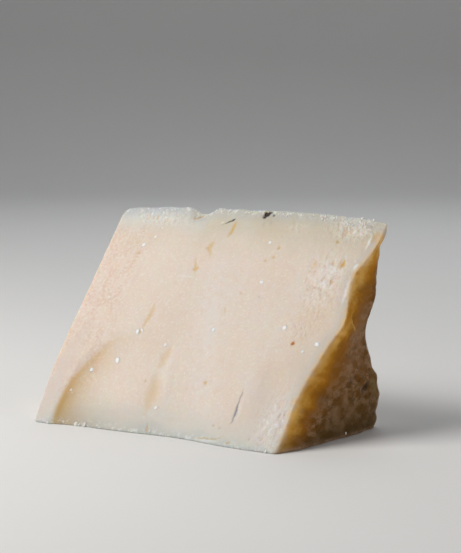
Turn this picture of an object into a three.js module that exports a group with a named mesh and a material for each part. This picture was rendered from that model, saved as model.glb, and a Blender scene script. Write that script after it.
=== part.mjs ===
// A chunk of hard cheese: a wedge that lies on its foot, with a ridge along the top.
// The front cut leans back and the back cut is nearly upright, and they meet at the ridge.
// The right end is the rind and the left end is a cut. One solid, in millimetres, +Z up,
// +X along the ridge towards the rind, with its origin under the middle of its box.
import * as THREE from 'three';
import { mergeVertices } from 'three/addons/utils/BufferGeometryUtils.js';

// Driving dimensions
const FOOT_LENGTH = 101;
const FOOT_DEPTH = 59;
const RIDGE_HEIGHT = 73;
const FRONT_LEAN = THREE.MathUtils.degToRad(40);

// Where the ridge and the back of the foot stand, from those dimensions
const RIDGE_SETBACK = RIDGE_HEIGHT * Math.tan(FRONT_LEAN);
const SLOPE_LENGTH = RIDGE_HEIGHT / Math.cos(FRONT_LEAN);
const RIDGE_LEFT_REACH = 2.7;
const RIDGE_LEFT_DROP = 1.1;
const RIDGE_RIGHT_REACH = 9.7;
const RIND_FLARE = 6.7;
const LEFT_FLARE = 1.5;

// How the edges bow away from straight lines
const RIDGE_CROWN = 2.2;
const LEFT_BOW = 3.8;
const RIND_FOOT_BOW = 3;
const BACK_FOOT_BOW = 1.6;
const LEFT_FOOT_BOW = 1.2;

// A chip out of the ridge
const CHIP_PLACE = 34;
const CHIP_HALF_WIDTH = 4;
const CHIP_DEPTH = 2.3;
const CHIP_FALL = 3.5;

// The hollow of the front foot, and the lip of the foot left of it
const HOLLOW_PLACE = 55;
const HOLLOW_WIDTH = 21;
const HOLLOW_DEPTH = 4;
const LIP_PLACE = 9;
const LIP_WIDTH = 8;
const LIP_REACH = 1.2;

// The scooped-out flake low on the left of the front cut, beside a curved edge
const SCOOP_EDGE = 6;
const SCOOP_SWEEP = 22;
const SCOOP_RISE = 45;
const SCOOP_TOP = 48;
const SCOOP_SHALLOWS = 14;
const SCOOP_DEPTH = 2.6;
const SCOOP_FILLET = 3.2;
const SCOOP_FLOOR = 8;
const SCOOP_END = 42;
const SCOOP_FOOT_SHARE = 0.75;

// Dents and lumps along the edges of the rind, as a place from foot to ridge, a width and a reach outwards
const RIND_FRONT_LUMPS = [
  { place: 0.23, width: 0.14, reach: -1.8 },
  { place: 0.55, width: 0.065, reach: 2 },
  { place: 0.75, width: 0.09, reach: -3.4 },
];
const RIND_BACK_LUMPS = [
  { place: 0.15, width: 0.05, reach: 0.4 },
  { place: 0.3, width: 0.04, reach: -0.5 },
  { place: 0.47, width: 0.17, reach: -3.7 },
  { place: 0.78, width: 0.15, reach: -1.8 },
  { place: 0.885, width: 0.045, reach: -1.1 },
];
const RIND_BACK_SLANT = 1.4;
const RIND_BACK_FADE = 7;

// Swells and hollows within a face: a place across and up it, from 0 to 1, a radius and a reach outwards
const RIND_SWELLS = [
  { across: 0.45, up: 0.25, radius: 0.22, reach: 1.3 },
  { across: 0.8, up: 0.2, radius: 0.1, reach: 1.4 },
  { across: 0.5, up: 0.55, radius: 0.14, reach: -1 },
  { across: 0.2, up: 0.42, radius: 0.1, reach: 0.7 },
];
const LEFT_SWELLS = [
  { across: 0.4, up: 0.3, radius: 0.3, reach: 1 },
  { across: 0.7, up: 0.18, radius: 0.14, reach: -1.3 },
  { across: 0.45, up: 0.62, radius: 0.16, reach: -0.9 },
];
const BACK_SWELLS = [
  { across: 0.25, up: 0.35, radius: 0.24, reach: -1.6 },
  { across: 0.5, up: 0.75, radius: 0.2, reach: -1 },
  { across: 0.6, up: 0.3, radius: 0.2, reach: 1 },
];
const FRONT_SWELLS = [
  { across: 0.3, up: 0.6, radius: 0.2, reach: 0.7 },
  { across: 0.62, up: 0.4, radius: 0.16, reach: 0.5 },
  { across: 0.82, up: 0.7, radius: 0.13, reach: -0.6 },
];

// How finely the faces are divided; the back cut has half as many columns as the front one
const COLUMNS = 64;
const BACK_COLUMNS = COLUMNS / 2;
const ROWS = 38;
const WELD_DISTANCE = 1e-3;
const SCOOP_COLUMN = 7 / COLUMNS;
const SCOOP_COLUMN_STRAIGHTENS = [0.45, 0.8];

// The corners of the wedge
const FRONT_LEFT = new THREE.Vector3(0, 0, 0);
const FRONT_RIGHT = new THREE.Vector3(FOOT_LENGTH, 0, 0);
const BACK_RIGHT = new THREE.Vector3(FOOT_LENGTH + RIND_FLARE, FOOT_DEPTH, 0);
const BACK_LEFT = new THREE.Vector3(-LEFT_FLARE, FOOT_DEPTH, 0);
const RIDGE_LEFT = new THREE.Vector3(-RIDGE_LEFT_REACH, RIDGE_SETBACK, RIDGE_HEIGHT - RIDGE_LEFT_DROP);
const RIDGE_RIGHT = new THREE.Vector3(FOOT_LENGTH + RIDGE_RIGHT_REACH, RIDGE_SETBACK, RIDGE_HEIGHT);

// Curves that the edges and faces are made from
const bump = (at, place, width) => Math.exp(-(((at - place) / width) ** 2));
const flatBump = (at, place, width) => Math.exp(-(((at - place) / width) ** 4));
const flatBow = (share) => 1 - (2 * share - 1) ** 4;
const lowBow = (share) => (1 - share) * (1 - (1 - share) ** 4);
const rimFade = (share) => 1 - Math.abs(2 * share - 1) ** 6;
const smooth = THREE.MathUtils.smoothstep;

function lumpsAlong(share, lumps) {
  return lumps.reduce((sum, lump) => sum + lump.reach * bump(share, lump.place, lump.width), 0);
}

function swellsOver(across, up, swells) {
  return swells.reduce((sum, swell) => {
    const distance = Math.hypot(across - swell.across, up - swell.up);
    return sum + swell.reach * bump(distance, 0, swell.radius);
  }, 0);
}

// A point on the straight line between two corners, moved by a bow along each axis
function between(from, to, share, bowX = 0, bowY = 0, bowZ = 0) {
  return new THREE.Vector3(bowX, bowY, bowZ).add(from.clone().lerp(to, share));
}

// The edges: across runs from the left end to the rind, up from foot to ridge, in from front to back
function frontFoot(across) {
  const x = across * FOOT_LENGTH;
  const hollow = HOLLOW_DEPTH * bump(x, HOLLOW_PLACE, HOLLOW_WIDTH);
  const lip = LIP_REACH * bump(x, LIP_PLACE, LIP_WIDTH) * flatBow(across);
  return between(FRONT_LEFT, FRONT_RIGHT, across, 0, hollow * flatBow(across) - lip);
}

function ridge(across) {
  return between(RIDGE_LEFT, RIDGE_RIGHT, across, 0, 0, RIDGE_CROWN * flatBow(across));
}

function backFoot(across) {
  return between(BACK_LEFT, BACK_RIGHT, across, 0, BACK_FOOT_BOW * flatBow(across));
}

function leftFront(up) {
  return between(FRONT_LEFT, RIDGE_LEFT, up, -LEFT_BOW * lowBow(up));
}

function leftBack(up) {
  return between(BACK_LEFT, RIDGE_LEFT, up, -LEFT_BOW * lowBow(up) / 2);
}

function rindFront(up) {
  return between(FRONT_RIGHT, RIDGE_RIGHT, up, lumpsAlong(up, RIND_FRONT_LUMPS) * rimFade(up));
}

function rindBack(up, slant = RIND_BACK_SLANT) {
  const lump = lumpsAlong(up, RIND_BACK_LUMPS) * rimFade(up);
  return between(BACK_RIGHT, RIDGE_RIGHT, up, lump, lump * slant);
}

function rindFoot(inward) {
  return between(FRONT_RIGHT, BACK_RIGHT, inward, RIND_FOOT_BOW * flatBow(inward));
}

function leftFoot(inward) {
  return between(FRONT_LEFT, BACK_LEFT, inward, -LEFT_FOOT_BOW * flatBow(inward));
}

// How far the chip lowers a point, by its place along the ridge and its share of the way up
function chipDepth(along, up) {
  const below = (1 - up) * RIDGE_HEIGHT;
  return CHIP_DEPTH * flatBump(along, CHIP_PLACE, CHIP_HALF_WIDTH) * bump(below, 0, CHIP_FALL);
}

// The curved edge of the scooped-out flake, as a place along the chunk
function scoopEdge(upSlope) {
  return SCOOP_EDGE + SCOOP_SWEEP * (Math.min(upSlope, SCOOP_TOP) / SCOOP_RISE) ** 4;
}

// How far the scooped-out flake goes into the front cut, at a place along and up the slope
function scoopDepth(along, upSlope) {
  const past = along - scoopEdge(upSlope);
  if (past <= 0) return 0;
  const fillet = 1 - Math.exp(-past / SCOOP_FILLET);
  const floor = 1 - smooth(past, SCOOP_FLOOR, SCOOP_END);
  const top = 1 - smooth(upSlope, SCOOP_SHALLOWS, SCOOP_TOP);
  const foot = SCOOP_FOOT_SHARE + (1 - SCOOP_FOOT_SHARE) * smooth(upSlope, 0, SCOOP_FLOOR);
  return SCOOP_DEPTH * fillet * floor * top * foot;
}

// A four-sided face stretched between its bottom, top, left and right edges
function stretched(bottom, top, left, right, across, up) {
  const point = new THREE.Vector3();
  point.addScaledVector(bottom(across), 1 - up).addScaledVector(top(across), up);
  point.addScaledVector(left(up), 1 - across).addScaledVector(right(up), across);
  point.addScaledVector(bottom(0), -(1 - across) * (1 - up)).addScaledVector(bottom(1), -across * (1 - up));
  point.addScaledVector(top(0), -(1 - across) * up).addScaledVector(top(1), -across * up);
  return point;
}

// The front's columns lean so that one of them follows the edge of the scooped-out flake
function leanedColumn(column, up) {
  const left = leftFront(up).x;
  const edgeShare = (scoopEdge(up * SLOPE_LENGTH) - left) / (rindFront(up).x - left);
  const knee = THREE.MathUtils.lerp(edgeShare, SCOOP_COLUMN, smooth(up, ...SCOOP_COLUMN_STRAIGHTENS));
  if (column <= SCOOP_COLUMN) return (knee * column) / SCOOP_COLUMN;
  return knee + ((1 - knee) * (column - SCOOP_COLUMN)) / (1 - SCOOP_COLUMN);
}

function frontPoint(column, up) {
  const across = leanedColumn(column, up);
  const point = stretched(frontFoot, ridge, leftFront, rindFront, across, up);
  const swell = swellsOver(across, up, FRONT_SWELLS) * rimFade(across) * rimFade(up);
  const inwards = scoopDepth(point.x, up * SLOPE_LENGTH) - swell;
  point.y += inwards / Math.cos(FRONT_LEAN);
  point.z -= chipDepth(point.x, up);
  return point;
}

function backPoint(across, up) {
  const rindBackUpright = (share) => rindBack(share, 0);
  const point = stretched(backFoot, ridge, leftBack, rindBackUpright, across, up);
  point.y += (rindBack(up).y - rindBackUpright(up).y) * across ** RIND_BACK_FADE;
  point.y += swellsOver(across, up, BACK_SWELLS) * rimFade(across) * rimFade(up);
  point.z -= chipDepth(point.x, up);
  return point;
}

// A three-sided end between its front and back edges, its foot edge and the end of the ridge
function endPoint(front, back, foot, swells, outwards, inward, up) {
  const point = front(up).lerp(back(up), inward);
  const footBow = foot(inward).sub(front(0).lerp(back(0), inward));
  point.addScaledVector(footBow, 1 - up);
  point.x += outwards * swellsOver(inward, up, swells) * rimFade(inward) * (1 - up) * rimFade(up);
  return point;
}

// Rows of points from foot to ridge, each running left to right as its face is seen from outside
function faceRows(columnsAt, pointAt) {
  return Array.from({ length: ROWS + 1 }, (_, row) => {
    const columns = columnsAt(row);
    const shareOf = (column) => column / Math.max(columns, 1);
    return Array.from({ length: columns + 1 }, (__, column) => pointAt(shareOf(column), row / ROWS));
  });
}

// Triangles between two rows of points, which may have different counts
function joinRows(lower, upper, triangles) {
  let low = 0;
  let high = 0;
  while (low < lower.length - 1 || high < upper.length - 1) {
    const nextLow = (low + 1) / (lower.length - 1);
    const nextHigh = (high + 1) / (upper.length - 1);
    if (nextLow <= nextHigh) {
      triangles.push(lower[low], lower[low + 1], upper[high]);
      low += 1;
    } else {
      triangles.push(lower[low], upper[high + 1], upper[high]);
      high += 1;
    }
  }
}

function joinFace(rows, triangles) {
  for (let row = 0; row < rows.length - 1; row += 1) {
    joinRows(rows[row], rows[row + 1], triangles);
  }
}

// The flat foot, as triangles from its middle to its rim
function joinFoot(rim, triangles) {
  const middle = new THREE.Vector3(FOOT_LENGTH / 2, FOOT_DEPTH / 2, 0);
  rim.forEach((point, index) => {
    triangles.push(middle, rim[(index + 1) % rim.length], point);
  });
}

function chunkGeometry() {
  const front = faceRows(() => COLUMNS, frontPoint);
  const back = faceRows(
    (row) => (row === ROWS ? COLUMNS : BACK_COLUMNS),
    (share, up) => backPoint(1 - share, up),
  );
  const rind = faceRows(
    (row) => ROWS - row,
    (inward, up) => endPoint(rindFront, rindBack, rindFoot, RIND_SWELLS, 1, inward, up),
  );
  const left = faceRows(
    (row) => ROWS - row,
    (share, up) => endPoint(leftFront, leftBack, leftFoot, LEFT_SWELLS, -1, 1 - share, up),
  );

  const triangles = [];
  [front, back, rind, left].forEach((rows) => joinFace(rows, triangles));
  const rim = [front, rind, back, left].flatMap((rows) => rows[0].slice(0, -1));
  joinFoot(rim, triangles);

  const geometry = mergeVertices(new THREE.BufferGeometry().setFromPoints(triangles), WELD_DISTANCE);
  geometry.computeBoundingBox();
  const box = geometry.boundingBox;
  const middle = box.getCenter(new THREE.Vector3());
  geometry.translate(-middle.x, -middle.y, -box.min.z);
  geometry.computeVertexNormals();
  return geometry;
}

const paste = new THREE.MeshStandardMaterial({ color: 0xdfd0bf, roughness: 0.5, metalness: 0 });
const chunk = new THREE.Mesh(chunkGeometry(), paste);
chunk.name = 'chunk';

const model = new THREE.Group();
model.add(chunk);

export default model;
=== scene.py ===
import math
from collections import namedtuple

import bmesh
import bpy
import numpy as np
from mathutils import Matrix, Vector
from mathutils.bvhtree import BVHTree
from mathutils.kdtree import KDTree


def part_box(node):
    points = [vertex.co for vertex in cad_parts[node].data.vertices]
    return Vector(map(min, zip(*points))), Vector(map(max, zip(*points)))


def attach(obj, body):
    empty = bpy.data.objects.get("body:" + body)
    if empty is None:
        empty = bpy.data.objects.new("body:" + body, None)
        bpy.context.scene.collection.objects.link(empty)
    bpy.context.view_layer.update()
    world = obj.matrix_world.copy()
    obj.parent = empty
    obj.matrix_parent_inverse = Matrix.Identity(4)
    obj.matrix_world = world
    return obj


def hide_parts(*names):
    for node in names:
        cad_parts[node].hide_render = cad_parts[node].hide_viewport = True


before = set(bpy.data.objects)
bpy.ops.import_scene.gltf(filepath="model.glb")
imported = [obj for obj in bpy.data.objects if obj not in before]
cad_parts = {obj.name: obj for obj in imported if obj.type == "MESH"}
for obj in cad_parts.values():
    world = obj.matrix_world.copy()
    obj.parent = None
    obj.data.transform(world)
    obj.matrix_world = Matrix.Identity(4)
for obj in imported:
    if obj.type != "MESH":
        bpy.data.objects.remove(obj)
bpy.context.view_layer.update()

NODE = "chunk"
MM = 0.001

# Places on the chunk are in millimetres from the left end of its front foot: along, in and up
CORNER_INSET = Vector((4.37, 0.41, 0.0)) * MM
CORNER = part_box(NODE)[0] + CORNER_INSET
FRONT_LEAN = math.radians(40)
SLOPE = 1 / math.cos(FRONT_LEAN)
# Where along the chunk the rind can begin, and the left end stops
RIND_FROM = 90
LEFT_UP_TO = 12

# The faces of the wedge and the way each looks
FACES = {
    "front": (0, -math.cos(FRONT_LEAN), math.sin(FRONT_LEAN)),
    "back": (0, 1, 0),
    "rind": (1, 0, 0),
    "left": (-1, 0, 0),
    "foot": (0, 0, -1),
}
FACE_NUMBER = {name: number for number, name in enumerate(FACES)}
# How sharp the edges stay, and how polygons are joined, refined and welded
FOOT_CREASE = 0.9
CUT_CREASE = 0.45
RIND_CREASE = 0.15
LIP_CREASE = 0.1
LIP_ANGLE = math.radians(20)
QUAD_SKEW = math.radians(60)
WELD_DISTANCE = 0.002
REFINE_LEVELS = 2
# Widths below which a mark gets finer polygons, and how far past its width they reach
SPLITS = [(1.2, 0.3), (0.6, 0)]

# A layer of noise: the size of its lumps in millimetres, how strong it is, and its seed
Layer = namedtuple("Layer", ("size", "strength", "seed"))

# A mark on a face: a path of (along, up) points, half width and depth, and how strong each colour is
TINTS = ("gold", "dark", "white", "blue", "pale", "peach", "rose", "cool", "dusk", "red", "honey")
Mark = namedtuple("Mark", ("path", "width", "depth", *TINTS), defaults=(0,) * (1 + len(TINTS)))
# What is left of a mark's strength and width at its ends, and the noise that sways it
END_STRENGTH = 0.15
END_WIDTH = 0.4
SWAYS = [Layer(1.5, 0.2, 71), Layer(6, 0.5, 73)]
# Marks narrower than this have ragged colour, stains and painted shade and light alike
RAGGED_UP_TO = 2.5
RAGGED = Layer(0.8, 0.35, 75)
RAGGED_RISE = (0, 0.8)

GOLDEN_SLITS = [
    Mark([(29.5, 42.6), (29.4, 38.1), (28.7, 35.1), (28.2, 32.4)], 1.05, 0.1, gold=0.42),
    Mark([(28.4, 33), (28, 30.9)], 0.8, 0.1, gold=0.45),
    Mark([(43.1, 64.8), (43, 62.5), (42.8, 60.6), (44, 59.2), (44.8, 56.6)], 1.1, 0.12, gold=0.45),
    Mark([(41.4, 60.9), (42.9, 60.3)], 0.9, 0.08, gold=0.5),
    Mark([(38.4, 57.9), (39.8, 55.6), (40.6, 53.2), (41.7, 50.5)], 0.7, 0.08, gold=0.42),
    Mark([(39.1, 52.9), (40.6, 53.7), (41.9, 54.8)], 0.9, 0.1, gold=0.62),
    Mark([(49.3, 70.6), (49.1, 69), (48.8, 67.3), (48.4, 65.9), (47.6, 64.3)], 0.85, 0.1, gold=0.68),
    Mark([(31.2, 72.3), (30.2, 70.4), (31.8, 70.5), (34.2, 71.6), (36.6, 72.2)], 0.35, 0.2, gold=0.6),
    Mark([(99.8, 60.6), (99.5, 58.6), (98.5, 57.2)], 1, 0.15, gold=0.85),
    Mark([(98.1, 58.1), (99.5, 58.4), (100.9, 58)], 1, 0.1, gold=0.7),
    Mark([(98.7, 58.6)], 2.4, gold=0.2),
    Mark([(94.5, 58.5), (95.8, 59.2)], 0.9, 0.06, gold=0.35),
    Mark([(88.3, 60.4), (88.3, 57.8), (87.3, 55.6)], 0.8, 0.1, gold=0.35),
    Mark([(86.9, 54.3), (87.5, 51.4)], 0.5, 0.05, gold=0.3),
    Mark([(95, 53.9), (97.5, 53.1), (100.2, 53.2)], 0.6, 0.08, gold=0.2),
    Mark([(94.2, 69), (97.4, 68.8)], 1.3, 0.1, gold=0.18),
    Mark([(77, 70.6), (76.9, 69.6)], 0.6, 0.08, gold=0.3),
    Mark([(108.6, 71), (107.8, 68.2), (107.2, 65.6)], 1.6, gold=0.38),
    Mark([(45.6, 3.8), (46.2, 1.5), (46.3, 0)], 0.6, 0.2, gold=0.45),
    Mark([(64.5, 1.1), (68.8, 1.5), (72.3, 1.6), (75.9, 2), (79.6, 3.3)], 0.35, 0.15, gold=0.55),
    Mark([(80.1, 1), (82, 1.9)], 0.45, 0.15, gold=0.5),
    Mark([(58.4, 42.2), (59.9, 39.2)], 0.5, 0.05, gold=0.28),
]
# Shallow hollows whose gold is painted shade on their shaded side
DIMPLES = [
    Mark([(42.9, 29.5), (41.4, 24.2), (40.3, 19.6)], 1.9, 0.26, gold=0.27),
    Mark([(41.3, 19.5), (42.8, 12.9), (43.4, 6.4)], 2.5, 0.36, gold=0.32),
]
PALE_FOLDS = [
    # A raised fold right of the dimples, its white partly painted highlight on its lit side
    Mark([(44.2, 29), (44.5, 22), (46.1, 17.1), (49, 10)], 2, -0.14, white=0.16),
    Mark([(34.3, 51.3), (41.5, 50.7)], 0.45, -0.05, white=0.4),
    Mark([(81, 17), (81.2, 12), (80.8, 7)], 1.1, -0.12, white=0.22),
    Mark([(65, 0.5), (72, 0.8), (78, 1.4)], 0.8, -0.12, white=0.5),
    Mark([(84, 38.2), (88.3, 39.2), (94, 38)], 0.65, -0.06, white=0.32),
    Mark([(93.6, 38.2), (95.5, 35.2)], 0.45, -0.06, white=0.35),
    Mark([(106.6, 69.6), (106.4, 67.6), (106.3, 65.6), (105.9, 63.4)], 0.6, -0.12, white=0.95),
    Mark([(105.8, 59.6), (104.9, 58.2), (104.2, 56.6)], 0.8, -0.12, white=0.95),
    Mark([(103.4, 60.4), (104.4, 59)], 0.5, -0.1, white=0.5),
    Mark([(104.4, 54.6), (104, 52.3), (104.2, 48.9), (104.6, 44.8)], 0.85, -0.1, white=0.8),
    Mark([(88, 1), (92.4, 5.6), (96.6, 12.6), (100.2, 21)], 1.5, -0.08, white=0.4),
    Mark([(92.6, 1.5), (96.4, 6.6), (99.2, 12.8)], 0.9, -0.08, white=0.42),
    Mark([(98.4, 0.5), (99.7, 5.1), (101.2, 10.5), (101.7, 15.1), (102.4, 20)], 0.9, -0.1, white=0.5),
    Mark([(16, 71), (20.8, 70.1), (25, 70.6)], 1, -0.1, white=0.25),
    Mark([(43.4, 70), (44.2, 69.4)], 0.8, -0.05, white=0.45),
]
DARK_MARKS = [
    Mark([(43.6, 68.6), (46.4, 69.9), (48.6, 71.2)], 0.42, 0.12, dark=0.8),
    Mark([(46.4, 69.9), (48.4, 71.1)], 0.48, 0.15, dark=1),
    Mark([(79.7, 15.2), (79.6, 11), (79.2, 5.8)], 0.52, 0.12, blue=0.8),
    Mark([(79, 18), (79.5, 15.8), (79.7, 13.2)], 0.4, 0.08, blue=0.5),
    Mark([(60.8, 73.4)], 1.15, 0.4, dark=1.8),
    Mark([(59.6, 73.2), (61.2, 73.4), (62.4, 73.6), (63.9, 74)], 1, 0.3, dark=1.6),
    Mark([(60.4, 73.3), (60.6, 72.5), (61.1, 71.6)], 0.75, 0.2, dark=1),
    Mark([(64.5, 72.5), (65.1, 73.6)], 0.85, 0.15, dark=0.75),
    Mark([(62.6, 72.6)], 2.8, dark=0.1),
    Mark([(61, 71.4), (61.2, 68.8)], 0.7, 0.05, dark=0.1),
    Mark([(64.4, 71.6), (64.2, 69.4)], 0.6, 0.05, dark=0.12),
    Mark([(106.3, 71.5)], 3, dark=0.12),
]
# Golden dots: their depth, and each as (along, up, radius, strength)
DOT_DEPTH = 0.2
GOLDEN_DOTS = [
    (71.1, 62.4, 0.75, 0.6), (70.4, 59.4, 0.65, 0.5), (67.8, 58.2, 0.6, 0.5), (94, 65.7, 0.75, 0.7),
    (62.1, 17.7, 0.85, 0.6), (37.5, 16.2, 0.75, 0.45), (13.3, 57.7, 0.9, 0.45), (72.5, 5.6, 0.5, 0.35),
    (75.2, 5.2, 0.5, 0.3), (89.5, 3.5, 0.5, 0.4), (63.2, 46.8, 0.6, 0.25), (71.1, 46.5, 0.6, 0.2),
]
RED_DOT = Mark([(91.8, 33.1)], 0.9, 0.1, red=1.6)
# Soft zones of colour on the front
COLOUR_ZONES = [
    Mark([(45, 68), (49.4, 53.7), (52.6, 43.9), (56.1, 34.3), (59.2, 26.5), (66, 16)], 6, -0.12, pale=0.9),
    Mark([(58, 36), (60.2, 29.8), (65.6, 19.1), (71.5, 7.2)], 1.8, -0.06, pale=0.7),
    Mark([(56, 26), (64, 12), (72, -2)], 8, pale=0.8),
    Mark([(77.3, 18.7), (79.3, 20.5), (83.6, 16.3), (83.5, 11.7)], 3, pale=0.6),
    Mark([(86, 26), (88, 17), (92, 8), (95, 0)], 6.5, rose=0.75),
    Mark([(98, 33), (96, 20)], 5, rose=0.5),
    Mark([(2, -6), (1.5, 4), (1, 14), (2, 24), (6, 34)], 4.5, rose=0.85),
    Mark([(18, 50), (35, 39), (47, 30)], 9, peach=0.4),
    Mark([(101, 52), (95, 40), (90, 33)], 8, 0.06, peach=0.95),
    Mark([(85, 30), (88.5, 15)], 5, 0.06, peach=0.6),
    Mark([(76, 64), (72, 44)], 9, peach=0.5),
    Mark([(86, 66), (104, 64)], 6, peach=0.6),
    Mark([(104, 60), (98, 44), (94, 30), (87, 10)], 7, honey=0.09),
    # Painted bluish skylight along the left of the ridge
    Mark([(-8, 70), (6, 73), (16, 73.9), (32, 74.2)], 2.6, cool=0.9),
]

# The edge of the scooped-out flake, from the foot up, and how its step is softened
SCOOP_LIP = [
    (6, 0), (5, 5.4), (5, 10), (5.9, 14.9), (8.3, 19.3), (12.1, 24.2), (15.7, 28.5), (21.3, 31.5),
    (27, 32.6),
]
LIP_SOFT_REACH = 2.6
LIP_SOFT_FROM = 1
LIP_SOFT_ROUNDS = 3
# Painted shade inside that edge, honey-coloured and dark, in place of the shade of its step: strength,
# reach, power of the fall up the edge, full width and where they set in
SCOOP_PAINTED_SHADES = {"honey": (1.5, 4.6, 1.2, 1, (0.5, 2.8)), "dusk": (1.05, 16, 6, 0, (0.3, 3))}

# The pink towards the left end: from where to where it fades, and how strong it is on the hidden faces
PINK_REACH = (8, 26)
HIDDEN_PINK = 0.4

# Scaly patches of the front, as centre, reach and strength
FLAKE_PATCHES = [
    ((95, 52.5), (8, 11), 0.9),
    ((99, 70.5), (10, 4), 1.05),
    ((76, 69.5), (5, 2.5), 0.5),
    ((91, 37), (7, 3), 0.6),
    ((96, 9), (7, 10), 0.85),
    ((16, 70), (16, 3), 0.75),
]
# The scales there: width and length, the noise that bends and roughens them, middle height and depth
SCALE_SIZE = (1.2, 2.2)
SCALE_SEED = 23
SCALE_SWAY = Layer(4, 1.5, 21)
SCALE_GRAIN = Layer(0.8, 0.3, 24)
SCALE_MIDDLE = 0.4
SCALE_DEPTH = 0.36

# Relief of the cut faces and of the rind
PASTE_SWELLS = [Layer((14, 20, 22), 0.12, 1), Layer(0.9, 0.02, 3)]
PASTE_STREAKS = [Layer((1.7, 20, 9), 0.04, 2)]
EDGE_CRUMBLE = [Layer(1.5, 0.2, 4), Layer(5, 0.18, 5)]
CRUMBLE_REACH = 0.9
LEFT_EDGE_SPARED = 0.6
RIND_LUMPS = [Layer((7, 10, 7), 0.32, 6), Layer((3.1, 4.5, 3.1), 0.24, 7), Layer((1.2, 1.8, 1.2), 0.1, 8)]
RIND_LUMPS_RISE = (0.2, 4)

# Marks of the hidden faces: how many on which width and height, where they start, how they run and bend
HIDDEN_SEED = 31
BACK_SPREAD = (30, 105, 72)
LEFT_SPREAD = (12, 55, 60)
HIDDEN_START = ((0.08, 0.1), (0.92, 0.9))
HIDDEN_RUN = ((-3, 2), (3, 9))
HIDDEN_BEND = 1
# Dimples, slits and folds there: the least and most width and depth, or width alone, and what is fixed;
# the dimples' gold is painted shade, as on the front
HIDDEN_KINDS = [
    ((1.5, 0.2), (2.4, 0.45), {"gold": 0.2}),
    ((0.7, 0.1), (1, 0.2), {"gold": 0.45}),
    ((0.7,), (1.1,), {"depth": -0.12, "white": 0.4}),
]

# Folds, lumps and patches of the rind, as points (in, up)
RIND_MARKS = [
    Mark([(36.8, 45), (37.2, 43), (38.4, 40.4), (41.9, 37.6), (45, 35.6)], 0.7, -0.3, honey=0.6),
    Mark([(39.2, 44.6), (39.6, 42), (40.6, 40.4), (43.4, 38.4)], 2, 0.4, dusk=1),
    # A deep fold whose dark is painted shade in its crease
    Mark([(52.2, 18.2), (50.9, 17.5), (48.5, 16.5), (46.8, 15), (45.8, 12.2)], 1.2, 1.1, dark=0.7),
    # Raised lumps, this one and several of the next marks: their olive tint is painted light on their lit
    # edges
    Mark([(53.8, 19.8), (54.4, 17.6), (54, 14.2), (52.6, 10.9)], 2.6, -0.6, cool=0.9),
    Mark([(51, 12), (49, 9.5)], 1, 0.5, dark=0.3),
    Mark([(61, 10.8), (58, 11.2)], 3.2, -0.2, cool=0.7),
    Mark([(61, 19), (58, 18.2), (55, 17.4)], 2.2, -0.7, cool=0.6),
    Mark([(62, 5.4), (56.2, 5.8), (52, 6.8)], 1.5, 0.8, dark=0.2),
    Mark([(57.2, 3.1), (54.3, 4.4)], 1.7, -0.4, cool=0.6),
    Mark([(60, -0.5), (56, 0)], 1.6, 1.6),
    Mark([(47.6, 56.6)], 1.1, 0.15, gold=0.6),
    Mark([(56.2, 68.5), (55, 64.4), (54.8, 61), (55.2, 57.5), (54, 53)], 1.9, gold=0.75),
    Mark([(51, 58), (49.4, 55.4), (47.4, 53.4), (45.6, 50.6)], 2.6, honey=0.75),
    Mark([(32.8, 36.4), (30.8, 33.8), (28.6, 31)], 2.1, honey=0.8),
    Mark([(33, 38), (30, 33.6), (27, 30.5), (24.5, 27), (21.5, 23.5), (18, 19.5)], 2.3, honey=0.7),
    Mark([(41.8, 49.4), (40, 46.6), (38, 44.3), (36, 42), (34.2, 39.6), (31, 35.5)], 1.9, gold=0.9),
    Mark([(32, 32.5), (29.1, 29.3), (28, 26.3), (25, 22)], 1.9, gold=0.4),
    Mark([(22.8, 22.5), (19, 19), (16.6, 16.6), (14.6, 14.4)], 1.8, gold=0.65),
    Mark([(12, 11.5), (8.8, 7.5), (5.6, 4.3)], 1.8, gold=0.3),
    Mark([(50.5, 50.5), (47.6, 43.6), (46, 38.3), (45.9, 34.7), (48, 21)], 4.5, pale=0.75),
    Mark([(45.5, 33), (41.2, 26.6), (37, 23), (32, 18.5)], 3.6, pale=0.4),
    Mark([(38, 33), (33, 26), (28, 17)], 4.5, dusk=0.45),
    Mark([(26.5, 16.2), (21.4, 12.8)], 1.6, 0.2, dark=0.2),
    Mark([(45, 21.5), (40, 19.6), (36.5, 17.5)], 2.2, 0.15, dark=0.3),
    Mark([(28.3, 13.9), (26.5, 4.1)], 1.5, 0.15, dark=0.2),
]
# Spots of pale bloom on the rind, as (in, up, radius)
RIND_BLOOMS = [
    (23.5, 13.8, 2.4), (27.9, 17.3, 2), (31.8, 16.8, 2), (29.8, 8.8, 2.6), (35.4, 14.2, 2.4),
    (38.1, 8.9, 2.6), (24.9, 6.4, 2), (32.9, 4.1, 2.4), (14.3, 12.3, 1.6), (19.9, 2, 1.7),
    (10.1, 3.6, 1.4),
]
BLOOM_STRENGTH = 0.7
BLOOM_DEPTH = -0.1

# How far each end of the ridge is worn
BLUNT_DEPTH = {"left": 0.8, "rind": 0.35}
BLUNT_REACH = 4

# White crystals of the front, as (along, up, radius)
FRONT_CRYSTALS = [
    (22.4, 21.8, 1), (13.3, 17.8, 0.8), (26.9, 31.7, 0.8), (28.5, 32.3, 0.6), (40.1, 28.2, 0.6),
    (57.6, 34.5, 0.75), (86.2, 37.4, 0.85), (69.7, 51, 0.75), (101, 33.4, 0.85), (96.7, 30.9, 0.6),
    (13.7, 60.2, 0.75), (17.3, 63.3, 0.6), (18.6, 66.4, 0.4), (46.1, 8.5, 0.65), (8.5, 42, 0.42),
    (42.5, 50.3, 0.4), (67, 64.1, 0.6), (52.4, 19.9, 0.4), (8.8, 11, 0.45),
]
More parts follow.
